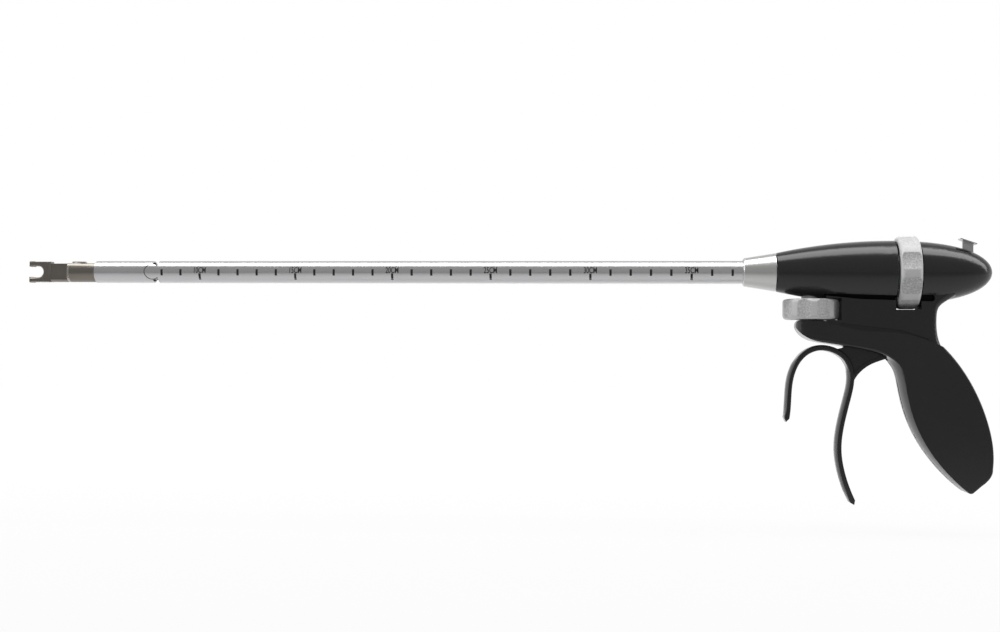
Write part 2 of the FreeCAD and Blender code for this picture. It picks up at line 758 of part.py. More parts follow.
def drive_lever():
    """Steel lever with a round nose that works in the groove of the drive collar."""
    tilt = math.radians(lever_tilt)
    nose = (pivot_x + lever_swing, pivot_z + lever_length * math.cos(tilt))
    across = Vector(math.cos(tilt), 0, -math.sin(tilt))
    root = Vector(pivot_x, 0, pivot_z)
    neck = Vector(nose[0], 0, nose[1])
    waist = roller_r - roller_relief
    corners = [root + across * (lever_width / 2), neck + across * waist, neck - across * waist,
               root - across * (lever_width / 2)]
    arm = plate(polygon([(c.x, c.z) for c in corners]), lever_half)
    hub = rod_y(trigger_hub_r - GAP, -lever_half, lever_half, pivot_x, pivot_z)
    tip = rod_y(roller_r, -lever_half, lever_half, *nose)
    x, z = rivet_spot()
    return arm.fuse([hub, tip]).cut([rod_y(trigger_pin_r + RUN, -5, 5, pivot_x, pivot_z),
                                     rod_y(rivet_r + SEAT, -5, 5, x, z)])


def lever_rivet():
    x, z = rivet_spot()
    return rod_y(rivet_r, -trigger_hub_half, trigger_hub_half, x, z)


# Drive train in the shaft
def drive_collar():
    """Grooved collar on the spindle tube, moved by the lever and pinned to the push rod."""
    body = rod_x(collar_flange_r, drive_x - collar_half, drive_x + collar_half)
    rims = [e for e in body.Edges if e.BoundBox.XLength < 1e-6]
    body = body.makeChamfer(0.4, rims)
    groove_half = groove_width / 2
    groove = tube_x(collar_flange_r + 1, collar_groove_r, drive_x - groove_half, drive_x + groove_half)
    return body.cut([groove, rod_x(spindle_r + RUN, drive_x - 20, drive_x + 20),
                     rod_y(drive_pin_r + SEAT, -20, 20, drive_x, 0)])


def drive_pin():
    return rod_y(drive_pin_r, -collar_groove_r + 0.1, collar_groove_r - 0.1, drive_x, 0)


def push_rod():
    rod = rod_x(push_rod_r, strip_rear_x, drive_x + 2 * drive_pin_r + 1)
    return rod.cut(rod_y(drive_pin_r + SEAT, -5, 5, drive_x, 0))


def drive_strip():
    """Flexible strip that carries the push through the bent joint."""
    return block(strip_front_x, strip_rear_x, strip_half, -strip_thickness / 2, strip_thickness / 2)


def return_spring():
    stop = drive_x - collar_half - stroke - 4 * GAP - spring_turns * 2 * spring_wire_r
    length = drive_x - collar_half - stop
    return coil(stop, spindle_r + GAP + spring_wire_r, spring_wire_r, length, spring_turns)


# Articulation drive
def wheel_about_z(solid, x):
    """Stand a part that was made about X upright at x."""
    solid.rotate(Vector(0, 0, 0), Vector(0, 1, 0), 90)
    solid.translate(Vector(x, 0, 0))
    return solid


def articulation_wheel():
    """Finger wheel with a hub that carries the crank pin into the barrel."""
    middle = wheel_top - wheel_height / 2
    disc = knurled_rim(wheel_r, wheel_height, wheel_round, -middle, wheel_pad_phase)
    disc = wheel_about_z(disc, wheel_x)
    hub = rod_z(wheel_hub_r, wheel_top - 1, wheel_hub_top, wheel_x)
    crank = rod_z(crank_r, wheel_hub_top - 0.5, yoke_plate_top - 0.1, wheel_x, crank_throw)
    bore = rod_z(axle_r + RUN, wheel_bottom - 1, wheel_hub_top - 1.0, wheel_x)
    return disc.fuse([hub, crank]).cut(bore)


def articulation_yoke():
    """Sliding yoke: a slotted plate over the crank pin and a half ring in the collar."""
    bottom = yoke_plate_top - yoke_plate
    flat = block(yoke_front_x, collar_x + yoke_width / 2, yoke_half, bottom, yoke_plate_top)
    ring = tube_x(yoke_r, bend_groove_r + PLAY, collar_x - yoke_width / 2, collar_x + yoke_width / 2)
    ring = ring.cut(block(collar_x - 5, collar_x + 5, 30, 0, 30))
    low = crank_throw * math.cos(math.radians(wheel_angle)) - crank_r - PLAY
    high = crank_throw + crank_r + PLAY
    half = crank_r + PLAY
    slot = Part.makeBox(2 * half, high - low, 4, Vector(wheel_x - half, low, bottom - 1))
    return flat.fuse(ring).cut(slot)


def articulation_collar():
    """Small grooved collar on the spindle tube that pulls the articulation rod."""
    half = yoke_width / 2 + PLAY + bend_collar_flange
    body = rod_x(bend_collar_r, collar_x - half, collar_x + half)
    body = body.makeChamfer(0.3, [e for e in body.Edges if e.BoundBox.XLength < 1e-6])
    groove_half = yoke_width / 2 + PLAY
    groove = tube_x(bend_collar_r + 1, bend_groove_r, collar_x - groove_half, collar_x + groove_half)
    return body.cut([groove, rod_x(spindle_r + RUN, collar_x - 20, collar_x + 20),
                     rod_z(bend_pin_r + SEAT, 0, 20, collar_x)])


def articulation_pin():
    return rod_z(bend_pin_r, link_lever - link_height / 2, bend_groove_r - 0.1, collar_x)


def articulation_rod():
    """Flat rod along the top of the tube with a slotted eye for the link pin."""
    low = link_lever - link_height / 2
    high = link_lever + link_height / 2
    rod = block(joint_x, collar_x, link_half, low, high)
    lug = block(collar_x - 2 * lug_half, collar_x + lug_half, lug_half, low, high)
    drop = link_lever * (1 - math.cos(math.radians(head_angle)))
    half = link_pin_r + PLAY
    eye_low = link_lever - drop - half - 0.4
    eye_high = link_lever + half + 0.4
    eye = block(joint_x - half - 0.6, joint_x + half + 0.6, link_half, eye_low, eye_high)
    slot = block(joint_x - half, joint_x + half, link_half + 1, link_lever - drop - PLAY, link_lever)
    for z in (link_lever - drop, link_lever):
        slot = slot.fuse(rod_y(half, -2, 2, joint_x, z))
    return rod.fuse([eye, lug]).cut([slot, rod_z(bend_pin_r + SEAT, -5, 10, collar_x)])


# Head
def head_tube():
    """Front tube, cut round the two ears of the long tube."""
    tube = tube_x(shaft_r, shaft_bore, head_rim_x, joint_x - 0.1)
    return tube.cut(rod_y(ear_r + ear_line, -10, 10, joint_x, 0))


def joint_tongue():
    """Plug in the head tube with two cheeks that hang on the pivot pins."""
    body_r = shaft_bore - SEAT
    plug = rod_x(body_r, joint_x - plug_setback - plug_length, joint_x - plug_setback)
    cheeks = rod_y(tongue_r, -tongue_half, tongue_half, joint_x, 0)
    cheeks = cheeks.fuse(block(joint_x - plug_setback - 1, joint_x, tongue_half, -tongue_r, tongue_r))
    inner = tongue_half - cheek_thickness
    body = plug.fuse(cheeks)
    middle = block(joint_x - plug_setback, joint_x + tongue_r + 1, inner, -tongue_r - 1, tongue_r + 1)
    strip_room = block(joint_x - 30, joint_x, strip_half + GAP, -strip_thickness, strip_thickness)
    pins = rod_y(pivot_r + RUN, -tongue_half - 1, tongue_half + 1, joint_x, 0)
    link = rod_y(link_pin_r + SEAT, -tongue_half - 1, tongue_half + 1, joint_x, link_lever)
    return body.cut([middle, strip_room, pins, link])


def link_pin():
    return rod_y(link_pin_r, -tongue_half, tongue_half, joint_x, link_lever)


def cartridge_body():
    """Round cartridge with a flat top, two milled side flats and the staple channel."""
    spigot = rod_x(shaft_bore - SEAT, head_rim_x, head_rim_x + cartridge_lap)
    neck = rod_x(cartridge_r, band_x, head_rim_x)
    flats = rod_x(cartridge_r, fork_x, flat_x)
    band = rod_x(cartridge_r, flat_x, band_x).common(block(flat_x, band_x, band_half, -10, 10))
    for side in (-1, 1):
        y = side * (flat_half + 5)
        milled = Part.makeBox(flat_length, 10, 20, Vector(fork_x, y - 5, flat_bottom))
        flats = flats.cut(milled)
    top = block(fork_x, head_rim_x, 10, cartridge_flat_top, 10)
    body = neck.fuse([spigot, flats, band]).cut(top)
    rod_front = driver_face_x - stroke + driver_plate_length - 1
    rod_room = rod_x(driver_r + GAP, rod_front - GAP, head_rim_x + cartridge_lap + 1)
    return body.cut([rod_room, staple_channel(fork_x - 1, driver_face_x + driver_plate_length + 1)])


def staple_channel(x0, x1):
    half_height = driver_plate_height / 2 + GAP
    return block(x0, x1, driver_plate_half + 0.2, -half_height, half_height)


def fork_tip():
    """Fork with a U gap, chamfered back and an anvil nub on each prong."""
    body = block(tip_x, fork_x, fork_half, -fork_height, fork_height)
    body = body.common(rod_x(shaft_r - RUN, tip_x, fork_x))
    rear = [e for e in body.Edges if e.BoundBox.XMin > fork_x - 0.1 and e.BoundBox.YLength < 1e-6]
    body = body.makeChamfer(fork_back_chamfer, rear)
    half = fork_gap / 2
    gap = rod_y(half, -10, 10, gap_floor_x - half, 0)
    gap = gap.fuse(block(tip_x - 1, gap_floor_x - half, 10, -half, half))
    body = body.cut([gap, staple_channel(gap_floor_x - 2, fork_x + 1)])
    faces = [e for e in body.Edges if all(abs(abs(v.Y) - fork_half) < 1e-6 for v in e.Vertexes)]
    gap_edges = [e for e in faces if max(abs(v.Z) for v in e.Vertexes) < half + 0.01
                 and e.BoundBox.XMax < gap_floor_x + 0.01]
    return body.makeChamfer(fork_edge_chamfer, gap_edges)


def anvil_nubs():
    """Hard anvil nub on the end of each prong."""
    nubs = []
    low = fork_gap / 2 - nub_proud
    high = fork_height + nub_proud
    for side in (-1, 1):
        z0, z1 = sorted((side * low, side * high))
        nub = block(tip_x - nub_proud, tip_x + nub_length, fork_half - nub_inset, z0, z1)
        nubs.append(nub.common(rod_x(shaft_r - RUN, tip_x - nub_length, fork_x)))
    return nubs


def lock_leaf():
    """Leaf spring that locks the cartridge in the head tube."""
    front = band_x
    rear = front + leaf_length
    low = cartridge_flat_top + leaf_lift
    high = low + leaf_thickness
    outline = [(front, low - leaf_hook / 3), (front + leaf_foot, low - leaf_hook),
               (front + leaf_foot + leaf_hook, low), (rear - leaf_foot, cartridge_flat_top),
               (rear, cartridge_flat_top), (rear, low), (rear - leaf_foot / 2, high),
               (front + leaf_foot, high)]
    return plate(polygon(outline), leaf_half)


def staple_driver():
    """Driver: a round rod behind a flat plate that fills the staple channel."""
    rod = rod_x(driver_r, driver_face_x + driver_plate_length - 1, strip_front_x)
    height = driver_plate_height / 2
    flat = block(driver_face_x, driver_face_x + driver_plate_length, driver_plate_half, -height, height)
    return rod.fuse(flat)


def staple():
    """One open staple that rides on the face of the driver."""
    height = driver_plate_height / 2
    wire = staple_wire / 2
    crown = block(driver_face_x - staple_wire, driver_face_x, wire, -height, height)
    legs = []
    for z0, z1 in ((-height, -height + staple_wire), (height - staple_wire, height)):
        legs.append(block(driver_face_x - staple_leg, driver_face_x - staple_wire, wire, z0, z1))
    return crown.fuse(legs)


# Release tab
def release_tab():
    """Sheet-metal tab: a sloping thumb plate on a post with a foot."""
    half = tab_post_width / 2
    post = block(tab_x - half, tab_x + half, tab_post_half, tab_foot_z, tab_top_z)
    foot = block(tab_x - half - tab_post_foot, tab_x + half + tab_post_foot, tab_post_half,
                 tab_foot_z, tab_foot_z + 1.0)
    top = block(tab_x - tab_plate_length / 2, tab_x + tab_plate_length / 2, tab_plate_half,
                tab_top_z - tab_thickness, tab_top_z)
    top.rotate(Vector(tab_x, 0, tab_top_z), Vector(0, 1, 0), tab_slope)
    trim = block(tab_x - 20, tab_x + 20, 10, tab_top_z, tab_top_z + 20)
    trim.rotate(Vector(tab_x, 0, tab_top_z), Vector(0, 1, 0), tab_slope)
    post = block(tab_x - half, tab_x + half, tab_post_half, tab_foot_z, tab_top_z + 3).cut(trim)
    return post.fuse([foot, top])


def tab_spring():
    spring = coil(0, tab_spring_r, tab_spring_wire_r, tab_spring_length, 6)
    spring.rotate(Vector(0, 0, 0), Vector(0, 1, 0), -90)
    spring.translate(Vector(tab_x, 0, tab_foot_z - tab_spring_length))
    return spring


def save(name, shape):
    shape.exportStep("parts/" + name + ".step")
    print(name, "solids", len(shape.Solids), "volume", round(shape.Volume, 1), "valid", shape.isValid())


whole = handle()
room = 2 * barrel_end_x
far_side = Part.makeBox(2 * room, room, 2 * room, Vector(-room, 0, -room))
save("handle_half_near", whole.cut(far_side))
save("handle_half_far", whole.common(far_side))
save("handle_screws", screws())
save("trigger_pin", trigger_pin())
save("wheel_axle", wheel_axle())
save("front_bearing", bearing(bearing_x))
save("rear_bearing", bearing(rear_bearing_x))
save("ferrule", ferrule())
save("outer_tube", outer_tube())
save("spindle_tube", spindle_tube())
save("rotation_ring", rotation_ring())
save("joint_clevis", joint_clevis())
save("pivot_pins", pivot_pins())
save("spring_stop", spring_stop())
save("tail_clip", tail_clip())
save("trigger", trigger())
save("drive_lever", drive_lever())
save("lever_rivet", lever_rivet())
save("drive_collar", drive_collar())
save("drive_pin", drive_pin())
save("push_rod", push_rod())
save("drive_strip", drive_strip())
save("return_spring", return_spring())
save("articulation_wheel", articulation_wheel())
save("articulation_yoke", articulation_yoke())
save("articulation_collar", articulation_collar())
save("articulation_pin", articulation_pin())
save("articulation_rod", articulation_rod())
save("head_tube", head_tube())
save("joint_tongue", joint_tongue())
save("link_pin", link_pin())
save("cartridge_body", cartridge_body())
save("fork_tip", fork_tip().fuse(anvil_nubs()))
save("lock_leaf", lock_leaf())
save("staple_driver", staple_driver())
save("staple", staple())
save("release_tab", release_tab())
save("tab_spring", tab_spring())
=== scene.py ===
"""Looks of an endoscopic stapler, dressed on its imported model.

Sizes are in millimetres, as a maker reads them, and become metres when a mesh is stored.
The shaft axis is X, the head points to -X, and X = 0 is the front face of the ferrule.
"""
import logging
import math
from dataclasses import dataclass
from enum import Enum
from typing import Any, Callable, Iterable

import bmesh
import bpy
from mathutils import Matrix, Vector


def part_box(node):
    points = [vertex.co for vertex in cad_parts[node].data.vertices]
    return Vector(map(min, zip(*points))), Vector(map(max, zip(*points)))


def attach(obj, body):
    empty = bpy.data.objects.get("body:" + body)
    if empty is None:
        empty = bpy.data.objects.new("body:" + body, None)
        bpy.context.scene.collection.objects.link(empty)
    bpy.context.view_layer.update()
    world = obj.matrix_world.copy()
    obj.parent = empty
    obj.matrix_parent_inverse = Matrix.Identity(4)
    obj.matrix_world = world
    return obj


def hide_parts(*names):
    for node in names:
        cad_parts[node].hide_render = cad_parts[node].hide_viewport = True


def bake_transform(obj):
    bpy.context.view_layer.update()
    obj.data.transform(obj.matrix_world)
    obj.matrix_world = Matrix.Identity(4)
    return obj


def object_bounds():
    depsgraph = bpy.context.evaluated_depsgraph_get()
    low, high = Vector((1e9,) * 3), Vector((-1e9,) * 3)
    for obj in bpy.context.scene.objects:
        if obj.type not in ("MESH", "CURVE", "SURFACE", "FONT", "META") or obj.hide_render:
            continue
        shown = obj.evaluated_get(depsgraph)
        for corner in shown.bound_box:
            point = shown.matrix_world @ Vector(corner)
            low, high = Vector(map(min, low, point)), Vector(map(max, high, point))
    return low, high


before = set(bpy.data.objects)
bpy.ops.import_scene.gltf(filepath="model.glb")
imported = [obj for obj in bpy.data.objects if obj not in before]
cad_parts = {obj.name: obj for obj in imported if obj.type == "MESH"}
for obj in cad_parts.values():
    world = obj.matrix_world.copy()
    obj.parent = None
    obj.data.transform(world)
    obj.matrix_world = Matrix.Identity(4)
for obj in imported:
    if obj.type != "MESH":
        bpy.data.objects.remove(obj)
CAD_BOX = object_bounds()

log = logging.getLogger("stapler")

MM = 0.001  # a millimetre, in metres
WELD = 0.001  # points closer than this become one
FLAT_ANGLE = 0.2  # faces that turn by fewer degrees become one
WHEEL_X = 33.1  # axis of the finger wheel and of its pocket


# Shader expressions

class Signal:
    """A node's output that takes part in Python expressions."""

    def __init__(self, graph: "Graph", socket: bpy.types.NodeSocket) -> None:
        """Wrap one output socket of a graph."""
        self.graph = graph
        self.socket = socket

    def __add__(self, other: "Signal | float") -> "Signal":
        """Sum."""
        return self.graph.math("ADD", self, other)

    def __sub__(self, other: "Signal | float") -> "Signal":
        """Difference."""
        return self.graph.math("SUBTRACT", self, other)

    def __rsub__(self, other: float) -> "Signal":
        """Difference with a number in front."""
        return self.graph.math("SUBTRACT", other, self)

    def __mul__(self, other: "Signal | float") -> "Signal":
        """Product."""
        return self.graph.math("MULTIPLY", self, other)

    __radd__ = __add__
    __rmul__ = __mul__


class Graph:
    """The node tree of a material or of the world."""

    def __init__(self, tree: bpy.types.NodeTree) -> None:
        """Empty the tree, ready for new nodes."""
        self.tree = tree
        tree.nodes.clear()

    def node(self, kind: str, settings: dict[str, Any] | None = None,
             inputs: dict[str | int, Any] | None = None) -> bpy.types.Node:
        """Add one node.

        Args:
            kind: the node's type, without the ShaderNode prefix.
            settings: its own properties, set first.
            inputs: values or signals for its sockets, by name or number.

        Returns:
            The new node.
        """
        made = self.tree.nodes.new("ShaderNode" + kind)
        for key, value in (settings or {}).items():
            setattr(made, key, value)
        for key, value in (inputs or {}).items():
            if isinstance(value, Signal):
                self.tree.links.new(value.socket, made.inputs[key])
            else:
                made.inputs[key].default_value = value
        return made

    def out(self, node: bpy.types.Node, output: str | int = 0) -> Signal:
        """One output of a node as a signal."""
        return Signal(self, node.outputs[output])

    def math(self, operation: str, *operands: "Signal | float") -> Signal:
        """A Math node on up to three values."""
        inputs = dict(enumerate(operands))
        return self.out(self.node("Math", {"operation": operation}, inputs))

    def step(self, value: Signal, low: float, high: float) -> Signal:
        """A soft step from 0 at low to 1 at high."""
        inputs = {"Value": value, "From Min": low, "From Max": high}
        return self.out(self.node("MapRange", {"interpolation_type": "SMOOTHSTEP"}, inputs))

    def ramp(self, value: Signal, low: float, high: float) -> Signal:
        """A straight ramp from 0 at low to 1 at high."""
        return self.out(self.node("MapRange", {}, {"Value": value, "From Min": low, "From Max": high}))

    def place(self, stretch: tuple[float, float, float] = (1.0, 1.0, 1.0)) -> Signal:
        """Object coordinates in metres, stretched along the axes."""
        where = self.out(self.node("TexCoord"), "Object")
        return self.out(self.node("Mapping", {}, {"Vector": where, "Scale": stretch}))

    def noise(self, where: Signal, scale: float, detail: float = 2.0) -> Signal:
        """Noise from 0 to 1 with that many grains to a metre."""
        inputs = {"Vector": where, "Scale": scale, "Detail": detail}
        return self.out(self.node("TexNoise", {}, inputs), "Fac")

    def tint(self, factor: Signal, dark: tuple[float, ...], light: tuple[float, ...]) -> Signal:
        """A colour between two colours."""
        mix = self.node("Mix", {"data_type": "RGBA"}, {0: factor, 6: dark, 7: light})
        return self.out(mix, 2)

    def bump(self, height: Signal, strength: float, depth: float) -> Signal:
        """A normal tilted by a height map, the depth in millimetres."""
        inputs = {"Height": height, "Strength": strength, "Distance": depth * MM}
        return self.out(self.node("Bump", {}, inputs))

    def seen(self) -> Signal:
        """1 for what the camera sees, straight or through glass, and 0 for all other rays."""
        path = self.node("LightPath")
        straight, through = self.out(path, "Is Camera Ray"), self.out(path, "Is Transmission Ray")
        return self.math("MAXIMUM", straight, through)


# Finishes

def grey(level: float) -> tuple[float, float, float, float]:
    """A neutral colour."""
    return (level, level, level, 1.0)


@dataclass(frozen=True)
class Finish:
    """A surface finish: a name and a recipe for its nodes.

    In the finishes, a scale counts the grains of a pattern to a metre, a dull value is the
    roughness that the pattern adds, and a height is its depth in millimetres.
    """

    name: str

    def recipe(self, graph: Graph) -> dict[str, Any]:
        """The shader's inputs; each finish gives its own."""
        raise NotImplementedError

    def material(self) -> bpy.types.Material:
        """The finish as a material, made once.

        Returns:
            The material of that name, new or known.
        """
        known = bpy.data.materials.get(self.name)
        if known is not None:
            return known
        made = bpy.data.materials.new(self.name)
        made.use_nodes = True
        graph = Graph(made.node_tree)
        shader = graph.node("BsdfPrincipled", {}, self.recipe(graph))
        graph.node("OutputMaterial", {}, {"Surface": graph.out(shader)})
        return made


@dataclass(frozen=True)
class GlossPlastic(Finish):
    """Black moulding with a soft shine and a trace of moulding texture."""

    level: float = 0.0105
    contrast: float = 0.1
    roughness: float = 0.17
    patch_scale: float = 45.0
    patch_dull: float = 0.04
    grain_scale: float = 2600.0
    grain_dull: float = 0.03
    grain_height: float = 0.05
    texture: float = 0.05

    def recipe(self, graph: Graph) -> dict[str, Any]:
        """Smoky patches of shine over a very fine grain.

        Args:
            graph: the material's nodes.

        Returns:
            The shader's inputs.
        """
        where = graph.place()
        patches = graph.noise(where, self.patch_scale, detail=3.0)
        grain = graph.noise(where, self.grain_scale)
        low, high = self.level * (1 - self.contrast), self.level * (1 + self.contrast)
        smoothest = self.roughness - self.patch_dull / 2
        return {
            "Base Color": graph.tint(patches, grey(low), grey(high)),
            "Roughness": smoothest + patches * self.patch_dull + grain * self.grain_dull,
            "Normal": graph.bump(grain, self.texture, self.grain_height),
            "IOR": 1.5,
        }


@dataclass(frozen=True)
class ShadowPlastic(Finish):
    """The same moulding inside slots and grooves: painted shade in a darker colour, and dull."""

    dark: float = 0.00175
    light: float = 0.0035
    mottle_scale: float = 300.0
    mottle_dull: float = 0.2
    roughness: float = 0.65
    shine: float = 0.12

    def recipe(self, graph: Graph) -> dict[str, Any]:
        """Painted shade: a mottled dark colour, with uneven dullness and hardly any shine.

        Args:
            graph: the material's nodes.

        Returns:
            The shader's inputs.
        """
        # painted shade: the dark colour stands for the shade inside slots, pockets and grooves
        mottle = graph.noise(graph.place(), self.mottle_scale, detail=3.0)
        return {
            "Base Color": graph.tint(mottle, grey(self.dark), grey(self.light)),
            "Roughness": self.roughness + mottle * self.mottle_dull,
            "Specular IOR Level": self.shine,
        }


@dataclass(frozen=True)
class GrainedPlastic(Finish):
    """Light grey moulding, spark-eroded to a fine grain."""

    level: float = 0.5
    contrast: float = 0.12
    grain: float = 0.5
    grain_scale: float = 1500.0
    grain_span: tuple[float, float] = (0.3, 0.7)
    grain_height: float = 0.12
    grain_dull: float = 0.16
    patch_scale: float = 120.0
    patch_share: float = 0.2
    roughness: float = 0.42

    def recipe(self, graph: Graph) -> dict[str, Any]:
        """Speckle in colour and height.

        Args:
            graph: the material's nodes.

        Returns:
            The shader's inputs.
        """
        where = graph.place()
        speckle = graph.noise(where, self.grain_scale, detail=3.0)
        patches = graph.noise(where, self.patch_scale)
        sharp = graph.step(speckle, *self.grain_span)
        shade = sharp * (1 - self.patch_share) + patches * self.patch_share
        low, high = self.level * (1 - self.contrast), self.level * (1 + self.contrast)
        return {
            "Base Color": graph.tint(shade, grey(low), grey(high)),
            "Roughness": self.roughness + speckle * self.grain_dull,
            "Normal": graph.bump(speckle, self.grain, self.grain_height),
        }


@dataclass(frozen=True)
class DrawnSteel(Finish):
    """Satin steel with fine lines along or around the shaft."""

    colour: tuple[float, float, float] = (0.62, 0.62, 0.63)
    darkest: float = 0.93
    roughness: float = 0.24
    stretch: tuple[float, float, float] = (0.03, 1.0, 1.0)
    lines: float = 0.06
    line_scale: float = 3200.0
    line_share: float = 0.4
    line_dull: float = 0.08
    line_height: float = 0.02
    cloud_scale: float = 30.0

    def recipe(self, graph: Graph) -> dict[str, Any]:
        """Lines in roughness and height, clouds in colour.

        Args:
            graph: the material's nodes.

        Returns:
            The shader's inputs.
        """
        strands = graph.noise(graph.place(self.stretch), self.line_scale, detail=3.0)
        clouds = graph.noise(graph.place(), self.cloud_scale, detail=3.0)
        shade = clouds * (1 - self.line_share) + strands * self.line_share
        light = (*self.colour, 1.0)
        dark = (*(part * self.darkest for part in self.colour), 1.0)
        return {
            "Base Color": graph.tint(shade, dark, light),
            "Metallic": 1.0,
            "Roughness": self.roughness - self.line_dull / 2 + strands * self.line_dull,
            "Normal": graph.bump(strands, self.lines, self.line_height),
        }


@dataclass(frozen=True)
class PrintedInk(Finish):
    """Black pad-printed ink."""

    dark: float = 0.008
    light: float = 0.02
    wear_scale: float = 900.0
    wear_dull: float = 0.1
    roughness: float = 0.55
    shine: float = 0.3

    def recipe(self, graph: Graph) -> dict[str, Any]:
        """Slightly uneven ink.

        Args:
            graph: the material's nodes.

        Returns:
            The shader's inputs.
        """
        wear = graph.noise(graph.place(), self.wear_scale, detail=3.0)
        return {
            "Base Color": graph.tint(wear, grey(self.dark), grey(self.light)),
            "Roughness": self.roughness + wear * self.wear_dull,
            "Specular IOR Level": self.shine,
        }


@dataclass(frozen=True)
class Acetal(Finish):
    """Natural white bearing plastic."""

    dark: tuple[float, float, float, float] = (0.66, 0.65, 0.6, 1.0)
    light: tuple[float, float, float, float] = (0.74, 0.73, 0.69, 1.0)
    cloud_scale: float = 200.0
    cloud_dull: float = 0.06
    roughness: float = 0.38

    def recipe(self, graph: Graph) -> dict[str, Any]:
        """Creamy, a little cloudy."""
        clouds = graph.noise(graph.place(), self.cloud_scale)
        dull = self.roughness + clouds * self.cloud_dull
        return {"Base Color": graph.tint(clouds, self.dark, self.light), "Roughness": dull}


BLACK = GlossPlastic("black_moulding")
# painted shade for the faces inside the ring's slot, the wheel's pocket and the grooves
SHADOW = ShadowPlastic("recess_painted_shade")
PAD_GREY = GrainedPlastic("grey_pad", level=0.46, grain=0.8, contrast=0.3)
LAND_GREY = GrainedPlastic("grey_land", level=0.54, grain=0.08, contrast=0.03)
TUBE_STEEL = DrawnSteel("tube_steel")
TURNED_STEEL = DrawnSteel("turned_steel", colour=(0.6, 0.6, 0.59), roughness=0.3,
                          stretch=(1.0, 0.05, 0.05))
HEAD_STEEL = DrawnSteel("head_steel", colour=(0.235, 0.213, 0.188), roughness=0.3)
# lighter steel: the lock leaf's own colour, and a painted highlight on the cartridge's bands
LEAF_STEEL_AND_BAND_HIGHLIGHT = DrawnSteel("leaf_steel_and_band_highlight", colour=(0.5, 0.47, 0.43), roughness=0.3)
BRIGHT_STEEL = DrawnSteel("bright_steel", colour=(0.66, 0.66, 0.67), roughness=0.18)
SHEET_STEEL = DrawnSteel("sheet_steel", colour=(0.5, 0.5, 0.5), roughness=0.34,
                         stretch=(1.0, 1.0, 0.05))
INK = PrintedInk("scale_ink")
ACETAL = Acetal("white_acetal")


# The modelling bench

class Axis(Enum):
    """The way a round piece points, as the turn that takes Z there."""

    X = (0.0, math.pi / 2, 0.0)
    Z = (0.0, 0.0, 0.0)


